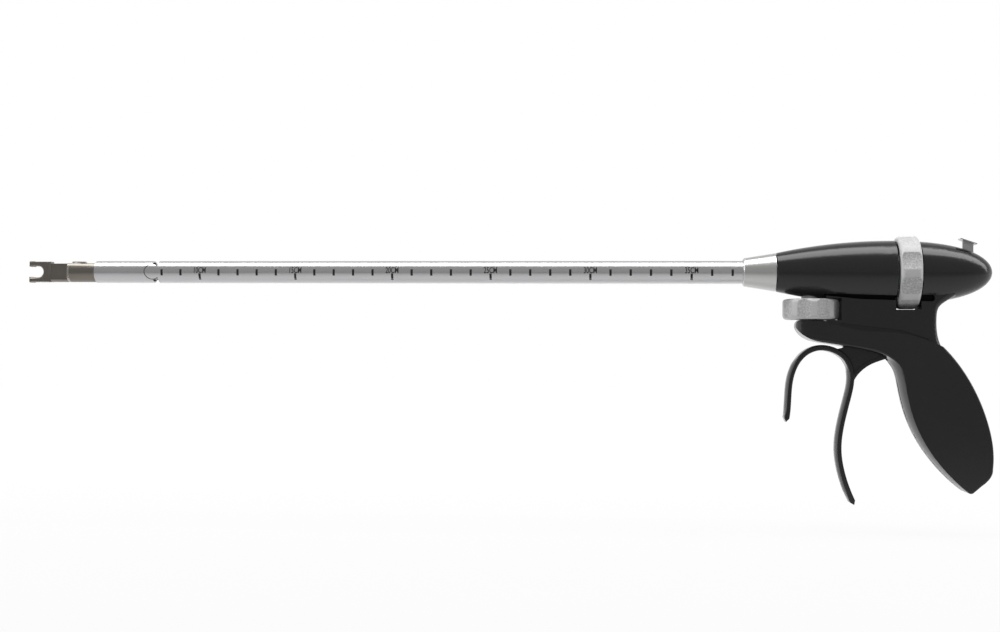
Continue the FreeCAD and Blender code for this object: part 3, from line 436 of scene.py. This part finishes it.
class Bench:
    """Modelling steps on the active object, in millimetres."""

    @staticmethod
    def clear() -> None:
        """Leave nothing selected, in object mode."""
        if bpy.context.mode != "OBJECT":
            bpy.ops.object.mode_set(mode="OBJECT")
        bpy.ops.object.select_all(action="DESELECT")

    @staticmethod
    def hold(*pieces: bpy.types.Object) -> None:
        """Select pieces and nothing else.

        Args:
            pieces: what to select; the first becomes the active one.
        """
        Bench.clear()
        for piece in pieces:
            piece.select_set(True)
        bpy.context.view_layer.objects.active = pieces[0]

    @staticmethod
    def named(piece: bpy.types.Object, name: str) -> bpy.types.Object:
        """Give a piece and its mesh one name."""
        piece.name = piece.data.name = name
        return piece

    @staticmethod
    def settle(name: str) -> bpy.types.Object:
        """Name the new primitive and put its place into its mesh."""
        piece = Bench.named(bpy.context.active_object, name)
        bpy.ops.object.transform_apply(location=True, rotation=True, scale=True)
        return piece

    @staticmethod
    def paint(piece: bpy.types.Object, finish: Finish) -> None:
        """Give a piece one finish all over."""
        piece.data.materials.clear()
        piece.data.materials.append(finish.material())

    @staticmethod
    def pick(test: Callable[[Vector], bool]) -> int:
        """In edit mode, select the faces whose middle passes a test.

        Args:
            test: says whether a face with that middle, in millimetres, is wanted.

        Returns:
            How many were picked.
        """
        bpy.ops.mesh.select_mode(type="FACE")
        bpy.ops.mesh.select_all(action="DESELECT")
        mesh = bpy.context.active_object.data
        work = bmesh.from_edit_mesh(mesh)
        count = 0
        for face in work.faces:
            middle = sum((corner.co for corner in face.verts), Vector()) / len(face.verts)
            if test(middle / MM):
                face.select_set(True)
                count += 1
        work.select_flush_mode()
        bmesh.update_edit_mesh(mesh)
        return count

    @staticmethod
    def assign(piece: bpy.types.Object, finish: Finish, test: Callable[[Vector], bool]) -> None:
        """Give some faces of a piece a finish of their own.

        Args:
            piece: the piece.
            finish: their finish.
            test: says whether a face with that middle gets it.
        """
        piece.data.materials.append(finish.material())
        Bench.hold(piece)
        bpy.ops.object.mode_set(mode="EDIT")
        found = Bench.pick(test)
        piece.active_material_index = len(piece.data.materials) - 1
        bpy.ops.object.material_slot_assign()
        bpy.ops.object.mode_set(mode="OBJECT")
        log.info("%s: %d faces in %s", piece.name, found, finish.name)

    @staticmethod
    def slice(piece: bpy.types.Object, places: Iterable[float], across: tuple[int, int, int]) -> None:
        """Cut the faces of a piece with parallel planes.

        Args:
            piece: the piece.
            places: where the planes cross the axis that they stand on.
            across: that axis.
        """
        Bench.hold(piece)
        bpy.ops.object.mode_set(mode="EDIT")
        for place in places:
            bpy.ops.mesh.select_all(action="SELECT")
            bpy.ops.mesh.bisect(plane_co=[part * place * MM for part in across], plane_no=across)
        bpy.ops.object.mode_set(mode="OBJECT")

    @staticmethod
    def turned(name: str, profile: list[tuple[float, float]], segments: int = 96) -> bpy.types.Object:
        """A round piece about X: a circle drawn out ring by ring through a closed profile.

        Args:
            name: the piece's name.
            profile: (x, radius) points round the wall, in order; the last joins the first.
            segments: faces round the piece.

        Returns:
            The piece.
        """
        Bench.clear()
        x, r = profile[0]
        bpy.ops.mesh.primitive_circle_add(vertices=segments, radius=r * MM, location=(x * MM, 0, 0),
                                          rotation=Axis.X.value)
        piece = Bench.settle(name)
        bpy.ops.object.mode_set(mode="EDIT")
        bpy.ops.mesh.select_mode(type="EDGE")
        bpy.ops.mesh.select_all(action="SELECT")
        for (x0, r0), (x1, r1) in zip(profile, profile[1:]):
            bpy.ops.mesh.extrude_edges_move(TRANSFORM_OT_translate={"value": ((x1 - x0) * MM, 0, 0)})
            if r1 != r0:
                bpy.ops.transform.resize(value=(1, r1 / r0, r1 / r0), center_override=(x1 * MM, 0, 0))
        bpy.ops.mesh.select_all(action="DESELECT")
        bpy.ops.mesh.select_non_manifold()
        bpy.ops.mesh.bridge_edge_loops()
        bpy.ops.mesh.select_all(action="SELECT")
        bpy.ops.mesh.remove_doubles(threshold=WELD * MM)
        bpy.ops.mesh.normals_make_consistent(inside=False)
        bpy.ops.object.mode_set(mode="OBJECT")
        return piece

    @staticmethod
    def join(name: str, pieces: list[bpy.types.Object]) -> bpy.types.Object:
        """Several meshes as one piece."""
        Bench.hold(*pieces)
        bpy.ops.object.join()
        return Bench.named(bpy.context.active_object, name)

    @staticmethod
    def change(piece: bpy.types.Object, kind: str, **settings: Any) -> None:
        """Add a modifier and apply it.

        Args:
            piece: the piece.
            kind: the modifier's type.
            settings: its own properties.
        """
        Bench.hold(piece)
        modifier = piece.modifiers.new(kind.title(), kind)
        for key, value in settings.items():
            setattr(modifier, key, value)
        bpy.ops.object.modifier_apply(modifier=modifier.name)

    @staticmethod
    def ease(piece: bpy.types.Object, edge: float, angle: float = 38.0) -> None:
        """Break the sharp edges and shade the rest smoothly.

        Args:
            piece: the piece.
            edge: how wide the broken edges are.
            angle: the turn, in degrees, from which an edge is sharp.
        """
        Bench.change(piece, "BEVEL", width=edge * MM, segments=2, limit_method="ANGLE",
                     angle_limit=math.radians(angle), miter_outer="MITER_ARC")
        Bench.hold(piece)
        bpy.ops.object.shade_smooth_by_angle(angle=math.radians(angle))
        Bench.change(piece, "WEIGHTED_NORMAL", keep_sharp=True, weight=60)

    @staticmethod
    def traced(node: str, name: str, finish: Finish) -> bpy.types.Object:
        """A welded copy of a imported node, with its flat faces made whole.

        Args:
            node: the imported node.
            name: the copy's name.
            finish: the copy's finish.

        Returns:
            The copy.
        """
        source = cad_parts[node]
        piece = source.copy()
        piece.data = source.data.copy()
        Bench.named(piece, name)
        piece.parent = None
        for key in list(piece.keys()):
            del piece[key]
        bpy.context.scene.collection.objects.link(piece)
        Bench.hold(piece)
        bpy.ops.mesh.customdata_custom_splitnormals_clear()
        bpy.ops.object.mode_set(mode="EDIT")
        bpy.ops.mesh.select_all(action="SELECT")
        bpy.ops.mesh.remove_doubles(threshold=WELD * MM)
        bpy.ops.mesh.dissolve_limited(angle_limit=math.radians(FLAT_ANGLE))
        bpy.ops.object.mode_set(mode="OBJECT")
        Bench.paint(piece, finish)
        return piece

    @staticmethod
    def fit(piece: bpy.types.Object, body: str, slot: str, stands_for: tuple[str, ...] = ()) -> None:
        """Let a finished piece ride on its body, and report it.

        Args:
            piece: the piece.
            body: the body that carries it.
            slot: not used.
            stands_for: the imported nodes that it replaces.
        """
        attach(piece, body)
        if stands_for:
            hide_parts(*stands_for)
        log.info("%s: %d faces on %s", piece.name, len(piece.data.polygons), body)


def dress(nodes: Iterable[str], finish: Finish) -> None:
    """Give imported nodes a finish."""
    for node in nodes:
        Bench.paint(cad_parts[node], finish)
        log.info("%s: dressed in %s", node, finish.name)


@dataclass(frozen=True)
class Crown:
    """A moulding's front, rounded across: its middle comes forward and its side edges go back.

    The front faces -X. low and high are its ends, and over fade the rounding dies out there.
    Across its half width the edges go back by rise, and all of it comes forward by lift; at
    the foot these are foot_rise and foot_lift. Rays that look for the front begin at start,
    probe away from the middle plane. Points up to skin behind it, or slack before it, move.
    """

    low: float
    high: float
    half: float
    rise: float
    foot_rise: float
    lift: float
    foot_lift: float
    start: float
    probe: float
    skin: float
    steps: int
    fade: float = 4.0
    slack: float = 0.05
    margin: float = 0.1

    def face_x(self, piece: bpy.types.Object, place: Vector) -> float | None:
        """Where the front lies at the height of a place, or nothing if no ray meets it."""
        origin = Vector((self.start, math.copysign(self.probe, place.y), place.z)) * MM
        hit, found, _, _ = piece.ray_cast(origin, Vector((1, 0, 0)))
        return found.x / MM if hit else None

    def setback(self, place: Vector) -> float:
        """How far behind the flat front the rounded one lies.

        Args:
            place: a place on the front.

        Returns:
            The distance; below 0 the rounded front lies before the flat one.
        """
        share = (place.z - self.low) / (self.high - self.low)
        rise = self.foot_rise + (self.rise - self.foot_rise) * share
        lift = self.foot_lift + (self.lift - self.foot_lift) * share
        return rise * min(abs(place.y) / self.half, 1.0) ** 2 - lift

    def move(self, piece: bpy.types.Object, place: Vector) -> float:
        """How far a point of the mesh has to go back.

        Args:
            piece: the moulding.
            place: the point.

        Returns:
            The distance; below 0 the point goes forward.
        """
        if not self.low < place.z < self.high:
            return 0.0
        front = self.face_x(piece, place)
        if front is None or not -self.slack < place.x - front < self.skin:
            return 0.0
        ends = min(place.z - self.low, self.high - place.z, self.fade) / self.fade
        return (self.setback(place) - (place.x - front)) * ends

    def on_front(self, place: Vector) -> bool:
        """Whether a place lies within the front's ends and edges."""
        return self.low < place.z < self.high and abs(place.y) < self.half - self.margin

    def shape(self, piece: bpy.types.Object) -> None:
        """Cut the front into strips and set them back or forward.

        Args:
            piece: the moulding.
        """
        Bench.hold(piece)
        bpy.ops.object.mode_set(mode="EDIT")
        for step in range(1, self.steps):
            for side in (-1, 1):
                cut = side * self.half * step / self.steps
                Bench.pick(self.on_front)
                bpy.ops.mesh.bisect(plane_co=(0, cut * MM, 0), plane_no=(0, 1, 0))
        bpy.ops.object.mode_set(mode="OBJECT")
        moves = [self.move(piece, vertex.co / MM) for vertex in piece.data.vertices]
        for name, way in (("back", 1), ("forward", -1)):
            group = piece.vertex_groups.new(name=name)
            for index, move in enumerate(moves):
                if way * move > 0:
                    group.add([index], way * move / self.rise, "REPLACE")
            Bench.change(piece, "DISPLACE", direction="X", strength=way * self.rise * MM, mid_level=0.0,
                         vertex_group=name)
            piece.vertex_groups.remove(piece.vertex_groups[name])
        log.info("%s: front rounded between %.1f and %.1f mm", piece.name, self.low, self.high)


# Sub-assemblies

@dataclass
class Handle:
    """Two housing halves with their screws, pins and the release tab.

    ring_slot is a range of X; pocket and groove are ranges of Z. The floors of the grooves
    lie groove_y from the middle plane, give or take groove_slack.
    """

    edge: float = 0.14
    tab_edge: float = 0.1
    screw_edge: float = 0.06
    ring_slot: tuple[float, float] = (72.85, 84.85)
    ring_slot_floor: float = -18.9
    pocket_r: float = 16.4
    pocket: tuple[float, float] = (-23.5, -12.95)
    groove_y: float = 6.9
    groove: tuple[float, float] = (-34.5, -10.5)
    groove_slack: float = 0.01
    front: Crown = Crown(low=-106.5, high=-40.5, half=10.5, rise=2.8, foot_rise=0.8, lift=1.65,
                         foot_lift=0.75, start=60.0, probe=5.0, skin=2.4, steps=7)

    def in_recess(self, place: Vector) -> bool:
        """Whether a face belongs to the ring's slot, to the wheel's pocket or to a groove.

        Args:
            place: the face's middle.

        Returns:
            True if it gets the painted shade.
        """
        low, high = self.ring_slot
        if low < place.x < high and place.z > self.ring_slot_floor:
            return True
        low, high = self.pocket
        if low < place.z < high and math.hypot(place.x - WHEEL_X, place.y) < self.pocket_r:
            return True
        low, high = self.groove
        on_floor = abs(abs(place.y) - self.groove_y) < self.groove_slack
        return on_floor and place.x > WHEEL_X and low < place.z < high

    def build(self) -> None:
        """Soften and dress everything that the hand holds."""
        for side in ("near", "far"):
            half = Bench.traced("handle_half_" + side, "housing_" + side, BLACK)
            self.front.shape(half)
            Bench.ease(half, self.edge)
            # painted shade darkens the ring's slot, the wheel's pocket and the grooves
            Bench.assign(half, SHADOW, self.in_recess)
            Bench.fit(half, "handle", "black_plastic", ("handle_half_" + side,))
        screws = Bench.traced("handle_screws", "housing_screws", BRIGHT_STEEL)
        Bench.ease(screws, self.screw_edge)
        Bench.fit(screws, "handle", "bright_steel", ("handle_screws",))
        tab = Bench.traced("release_tab", "thumb_tab", SHEET_STEEL)
        Bench.ease(tab, self.tab_edge)
        Bench.fit(tab, "tab", "satin_steel", ("release_tab",))
        dress(("trigger_pin", "wheel_axle", "tab_spring"), BRIGHT_STEEL)
        dress(("front_bearing", "rear_bearing"), ACETAL)


@dataclass
class Trigger:
    """Moulded trigger and the lever that it carries."""

    edge: float = 0.1
    long_blade: Crown = Crown(low=-112.0, high=-45.0, half=5.0, rise=1.4, foot_rise=1.0, lift=0.62,
                              foot_lift=0.58, start=35.0, probe=2.0, skin=1.1, steps=4)
    short_blade: Crown = Crown(low=-72.0, high=-41.0, half=5.0, rise=1.4, foot_rise=1.1, lift=0.45,
                               foot_lift=0.42, start=0.0, probe=2.0, skin=1.1, steps=4)

    def build(self) -> None:
        """Soften the moulding and dress the lever."""
        blade = Bench.traced("trigger", "trigger_moulding", BLACK)
        self.long_blade.shape(blade)
        self.short_blade.shape(blade)
        Bench.ease(blade, self.edge)
        Bench.fit(blade, "trigger_lever", "black_plastic", ("trigger",))
        dress(("drive_lever", "lever_rivet"), BRIGHT_STEEL)


@dataclass
class GripWheel:
    """A grey finger wheel with grained pads and smooth lands between them.

    radius reaches the lands, phase turns the first pad from the top or the rear, in degrees,
    and an upright wheel stands at axis_x. A pad spans pad_angle and sinks in by scoop.
    """

    node: str
    body: str
    axis: Axis
    radius: float
    phase: float
    axis_x: float = 0.0
    pads: int = 9
    pad_angle: float = 28.0
    scoop: float = 0.4
    slack: float = 0.015
    edge: float = 0.12

    def on_pad(self, place: Vector) -> bool:
        """Whether a face belongs to the scoop of a pad.

        Args:
            place: the face's middle.

        Returns:
            True if it is grained.
        """
        up = place.z if self.axis is Axis.X else place.x - self.axis_x
        share = 2 * math.pi / self.pads
        turn = math.atan2(-place.y, up) - math.radians(self.phase)
        offset = turn - round(turn / share) * share
        reach = math.hypot(up, place.y)
        half_angle = math.radians(self.pad_angle / 2)
        chord, half = self.radius * math.cos(half_angle), self.radius * math.sin(half_angle)
        scoop_r = (half ** 2 + self.scoop ** 2) / (2 * self.scoop)
        axis_height = chord - self.scoop + scoop_r
        gap = math.hypot(reach * math.cos(offset) - axis_height, reach * math.sin(offset))
        return gap < scoop_r + self.slack

    def build(self) -> None:
        """Trace the wheel, ease its edges, and dress its pads apart."""
        wheel = Bench.traced(self.node, self.node + "_moulding", LAND_GREY)
        Bench.ease(wheel, self.edge)
        Bench.assign(wheel, PAD_GREY, self.on_pad)
        Bench.fit(wheel, self.body, "grey_plastic", (self.node,))


@dataclass
class Shaft:
    """Long steel tube with its printed scale, the cone behind it and the rotation ring.

    The scale counts centimetres from its own zero, which lies that far before X = 0. mark and
    low_mark are the heights between which a short mark and a labelled one stand.
    """

    tube_r: float = 5.7
    tube_edge: float = 0.08
    bore: float = 5.0
    cone_front_r: float = 6.9
    cone_rear_r: float = 9.55
    cone_chamfer: float = 0.5
    cone_rim: float = 0.3
    cone_gap: float = 0.02
    cone_seat: float = 2.0
    cone_edge: float = 0.06
    cone_sharp: float = 25.0
    ring_r: float = 18.05
    ring_phase: float = -5.6
    zero: float = 375.25
    first_mark: int = 8
    last_mark: int = 37
    mark_step: float = 10.0
    mark_width: float = 1.15
    mark: tuple[float, float] = (-2.05, 1.15)
    low_mark: tuple[float, float] = (-4.1, -1.0)
    label_every: int = 5
    label_size: float = 4.3
    label_squeeze: float = 0.64
    label_foot: float = -0.75
    label_weight: float = 0.07
    ink_turn: tuple[float, float, float] = (math.pi / 2, 0, 0)
    ink_lift: float = 0.015
    strip: float = 0.4

    def tube(self) -> bpy.types.Object:
        """The tube with its two ears."""
        tube = Bench.traced("outer_tube", "shaft_tube", TUBE_STEEL)
        Bench.ease(tube, self.tube_edge)
        Bench.fit(tube, "shaft", "satin_steel", ("outer_tube",))
        return tube

    def cone(self) -> None:
        """The turned cone that grips the tube."""
        low, high = (corner.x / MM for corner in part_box("ferrule"))
        edge, rim, wall = self.cone_chamfer, self.cone_rim, self.tube_r + self.cone_gap
        slope = (self.cone_rear_r - self.cone_front_r) / (high - low)
        profile = [
            (low, wall),
            (low, self.cone_front_r - edge),
            (low + edge, self.cone_front_r + slope * edge),
            (high - rim, self.cone_rear_r - slope * rim),
            (high, self.cone_rear_r - rim),
            (high, self.bore),
            (high - self.cone_seat, self.bore),
            (high - self.cone_seat, wall),
        ]
        cone = Bench.turned("shaft_cone", profile)
        Bench.paint(cone, TURNED_STEEL)
        Bench.ease(cone, self.cone_edge, angle=self.cone_sharp)
        Bench.fit(cone, "shaft", "satin_steel", ("ferrule",))

    def tick(self, name: str, x: float, low: float, high: float) -> bpy.types.Object:
        """A flat bar of ink in front of the tube.

        Args:
            name: the bar's name.
            x: where its middle stands on the shaft.
            low: its lower end.
            high: its upper end.

        Returns:
            The bar.
        """
        Bench.clear()
        bpy.ops.mesh.primitive_plane_add(size=1.0, rotation=self.ink_turn,
                                         location=(x * MM, -self.tube_r * MM, (low + high) / 2 * MM))
        bpy.context.active_object.scale = (self.mark_width * MM, (high - low) * MM, 1)
        return Bench.settle(name)

    def label(self, name: str, words: str, x: float) -> bpy.types.Object:
        """Flat lettering in front of the tube.

        Args:
            name: the lettering's name.
            words: what it says.
            x: where its middle stands on the shaft.

        Returns:
            The lettering, as a mesh.
        """
        Bench.clear()
        bpy.ops.object.text_add(location=(x * MM, -self.tube_r * MM, self.label_foot * MM),
                                rotation=self.ink_turn)
        text = bpy.context.active_object
        text.data.body = words
        text.data.size = self.label_size * MM
        text.data.align_x = "CENTER"
        text.data.offset = self.label_weight * MM
        text.scale.x = self.label_squeeze
        bpy.ops.object.convert(target="MESH")
        return Bench.settle(name)

    def scale(self, tube: bpy.types.Object) -> None:
        """Centimetre marks and their labels, wrapped on the tube.

        Args:
            tube: what they are printed on.
        """
        pieces = []
        for number in range(self.first_mark, self.last_mark + 1):
            x = number * self.mark_step - self.zero
            if number % self.label_every:
                pieces.append(self.tick("mark_%d" % number, x, *self.mark))
            else:
                pieces.append(self.tick("mark_%d" % number, x, *self.low_mark))
                pieces.append(self.label("label_%d" % number, "%dCM" % number, x))
        ink = Bench.join("shaft_scale", pieces)
        foot = self.low_mark[0]
        strips = round((self.label_size - foot) / self.strip)
        Bench.slice(ink, (foot + self.strip * step for step in range(1, strips)), (0, 0, 1))
        Bench.change(ink, "SHRINKWRAP", target=tube, wrap_method="PROJECT", use_project_y=True,
                     use_negative_direction=True, use_positive_direction=True, offset=self.ink_lift * MM)
        bpy.ops.object.shade_smooth()
        Bench.paint(ink, INK)
        Bench.fit(ink, "shaft", "dark_steel")

    def build(self) -> None:
        """Build the shaft from the tube outwards."""
        tube = self.tube()
        self.cone()
        self.scale(tube)
        GripWheel("rotation_ring", "shaft", Axis.X, self.ring_r, self.ring_phase).build()
        dress(("spindle_tube", "joint_clevis", "spring_stop", "tail_clip", "pivot_pins"), BRIGHT_STEEL)


@dataclass
class Head:
    """Fork head with its cartridge, lock leaf and driver.

    highlight_bands are the ranges of X in which the cartridge is painted a lighter steel, a painted
    highlight where its chamfers catch the light. strip_flex is not used.
    """

    edge: float = 0.08
    highlight_bands: tuple[tuple[float, float], ...] = ((-346.7, -345.0), (-337.8, -336.2))
    strip_cuts: int = 28
    strip_flex: float = 6.0

    def in_highlight_band(self, place: Vector) -> bool:
        """Whether a face belongs to a band of the cartridge that gets the painted highlight."""
        return any(low < place.x < high for low, high in self.highlight_bands)

    def piece(self, node: str, name: str, finish: Finish, slot: str = "dark_steel") -> bpy.types.Object:
        """One traced and eased piece of the head.

        Args:
            node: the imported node.
            name: the piece's name.
            finish: its finish.
            slot: its material slot.

        Returns:
            The piece.
        """
        piece = Bench.traced(node, name, finish)
        Bench.ease(piece, self.edge)
        Bench.fit(piece, "head", slot, (node,))
        return piece

    def strip(self) -> None:
        """The spring steel strip that flexes where the head bends."""
        piece = Bench.traced("drive_strip", "flexible_strip", BRIGHT_STEEL)
        front, rear = (corner.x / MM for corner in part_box("drive_strip"))
        length = rear - front
        cuts = (front + length * step / self.strip_cuts for step in range(1, self.strip_cuts))
        Bench.slice(piece, cuts, (1, 0, 0))
        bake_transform(piece)
        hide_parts("drive_strip")
        log.info("%s: flexes from shaft to head", piece.name)

    def build(self) -> None:
        """Build the head from the joint to the fork."""
        self.strip()
        self.piece("head_tube", "front_tube", TUBE_STEEL, "satin_steel")
        cartridge = self.piece("cartridge_body", "staple_cartridge", HEAD_STEEL)
        self.piece("fork_tip", "fork", HEAD_STEEL)
        # painted highlight: lighter steel on the cartridge's bands stands for lit chamfers
        Bench.assign(cartridge, LEAF_STEEL_AND_BAND_HIGHLIGHT, self.in_highlight_band)
        self.piece("lock_leaf", "cartridge_leaf", LEAF_STEEL_AND_BAND_HIGHLIGHT)
        dress(("joint_tongue", "link_pin", "staple_driver", "staple"), BRIGHT_STEEL)


@dataclass
class Drive:
    """The finger wheel and what moves inside the handle."""

    wheel_r: float = 13.85
    wheel_phase: float = -10.6

    def build(self) -> None:
        """Build the wheel and dress the moving pieces."""
        GripWheel("articulation_wheel", "bend_wheel", Axis.Z, self.wheel_r, self.wheel_phase,
                  axis_x=WHEEL_X).build()
        dress(("articulation_yoke", "articulation_collar", "articulation_pin", "articulation_rod",
               "drive_collar", "drive_pin", "push_rod", "return_spring"), BRIGHT_STEEL)


@dataclass
class Studio:
    """White sweep, soft light and the camera.

    floor_size, sweep_run and eye are in metres. The lights are ranges of the angle, in
    degrees, by which a direction rises from the camera's side over the top; yaw, pitch and
    roll are in radians.
    """

    floor_drop: float = 14.0
    floor_size: float = 6.0
    floor_white: float = 0.93
    sweep_run: tuple[float, float] = (-0.6, 0.3)
    sweep_front: float = 0.17
    sweep_back: float = 0.62
    fleck_scale: float = 60.0
    fleck_share: float = 0.03
    room: float = 0.38
    back_wall: float = 1.0
    back_above: tuple[float, float] = (100.0, 175.0)
    back_below: tuple[float, float] = (-90.0, -175.0)
    strip_light: float = 4.4
    strip_front: tuple[float, float] = (66.0, 72.0)
    strip_back: tuple[float, float] = (100.0, 108.0)
    eye: tuple[float, float, float] = (-0.0487246, -0.700, -0.0441018)
    yaw: float = 0.102717
    pitch: float = 0.0312677
    roll: float = 0.00706955
    lens: float = 50.245
    sensor: float = 36.0
    near: float = 10.0

    def world(self) -> None:
        """Dim room on the camera's side, a long strip light above, brighter below and behind."""
        world = bpy.data.worlds.new("studio_room")
        bpy.context.scene.world = world
        world.use_nodes = True
        graph = Graph(world.node_tree)
        where = graph.out(graph.node("TexCoord"), "Generated")
        parts = graph.node("SeparateXYZ", {}, {0: where})
        away, up = graph.out(parts, 1), graph.out(parts, 2)
        turn = graph.math("ARCTAN2", up, away * -1.0) * math.degrees(1.0)
        strip = graph.step(turn, *self.strip_front) * (1.0 - graph.step(turn, *self.strip_back))
        behind = graph.step(turn, *self.back_above) + graph.step(turn, *self.back_below)
        level = self.room + behind * (self.back_wall - self.room) + strip * self.strip_light
        seen = graph.seen()
        shine = graph.node("Background", {}, {"Color": grey(1.0), "Strength": level * (1.0 - seen) + seen})
        graph.node("OutputWorld", {}, {"Surface": graph.out(shine)})

    def floor(self) -> None:
        """A pale sweep, lighter toward the back, that keeps a faint shadow."""
        Bench.clear()
        height = CAD_BOX[0][2] - self.floor_drop * MM
        bpy.ops.mesh.primitive_plane_add(size=self.floor_size, location=(0, 0, height))
        floor = Bench.settle("studio_floor")
        made = bpy.data.materials.new("white_sweep")
        made.use_nodes = True
        graph = Graph(made.node_tree)
        parts = graph.node("SeparateXYZ", {}, {0: graph.place()})
        depth = graph.ramp(graph.out(parts, 1), *self.sweep_run)
        fleck = graph.noise(graph.place(), self.fleck_scale)
        shade = depth * (1 - self.fleck_share) + fleck * self.fleck_share
        colour = graph.tint(shade, grey(self.sweep_front), grey(self.sweep_back))
        paper = graph.node("BsdfDiffuse", {}, {"Color": colour})
        glow = graph.node("Emission", {}, {"Color": grey(1.0), "Strength": 1.0})
        inputs = {0: graph.seen() * self.floor_white, 1: graph.out(paper), 2: graph.out(glow)}
        graph.node("OutputMaterial", {}, {"Surface": graph.out(graph.node("MixShader", {}, inputs))})
        floor.data.materials.append(made)

    def camera(self) -> None:
        """The camera where the photograph was taken."""
        right = Vector((math.cos(self.yaw), math.sin(self.yaw), 0))
        ahead = Vector((-math.sin(self.yaw), math.cos(self.yaw), 0))
        up = Vector((0, 0, 1))
        view = ahead * math.cos(self.pitch) + up * math.sin(self.pitch)
        head = up * math.cos(self.pitch) - ahead * math.sin(self.pitch)
        side = right * math.cos(self.roll) + head * math.sin(self.roll)
        head = head * math.cos(self.roll) - right * math.sin(self.roll)
        turn = Matrix((side, head, -view)).transposed()
        bpy.ops.object.camera_add(location=self.eye, rotation=turn.to_euler())
        camera = bpy.context.active_object
        camera.name = "photo_camera"
        camera.data.sensor_width = self.sensor
        camera.data.lens = self.lens
        camera.data.clip_start = self.near * MM
        bpy.context.scene.camera = camera

    def build(self) -> None:
        """Set the scene up."""
        bpy.context.scene.view_settings.view_transform = "Standard"
        self.world()
        self.floor()
        self.camera()


def main() -> None:
    """Build every sub-assembly in order, then the studio."""
    logging.basicConfig(level=logging.INFO, format="%(message)s")
    for assembly in (Handle(), Shaft(), Trigger(), Head(), Drive(), Studio()):
        log.info("building %s", type(assembly).__name__)
        assembly.build()


if __name__ == "__main__":
    main()
